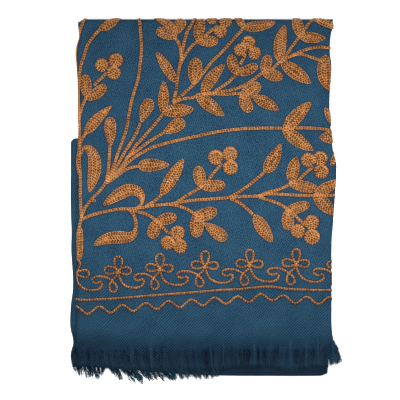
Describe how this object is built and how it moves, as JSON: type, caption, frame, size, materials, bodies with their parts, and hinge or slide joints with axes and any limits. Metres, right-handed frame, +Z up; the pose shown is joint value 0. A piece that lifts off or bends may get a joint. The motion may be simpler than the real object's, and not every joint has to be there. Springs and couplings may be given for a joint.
{
  "type": "folded embroidered wool shawl",
  "caption": "Square fringed wool twill shawl with allover vine embroidery, folded into a flat packet that lies on a surface.",
  "frame": {"origin": "centre of the packet's footprint on the surface it lies on", "axes": "+Z up out of the embroidered face, +Y from the fringed hem to the top fold, +X to the right"},
  "size_m": [0.2589, 0.3461, 0.0138],
  "materials": {
    "embroidered_cloth": "petrol blue wool twill, matt and slightly fuzzy, with copper chain-stitch vines",
    "plain_cloth": "petrol blue wool twill, matt, plain",
    "fringe_yarn": "loose wool yarns of the cloth itself"
  },
  "bodies": {
    "root": {"front_panel": "embroidered_cloth", "under_flap": "plain_cloth", "inner_layers": "plain_cloth", "back_panel": "plain_cloth", "fringe_upper": "fringe_yarn", "fringe_lower": "fringe_yarn"}
  },
  "joints": []
}
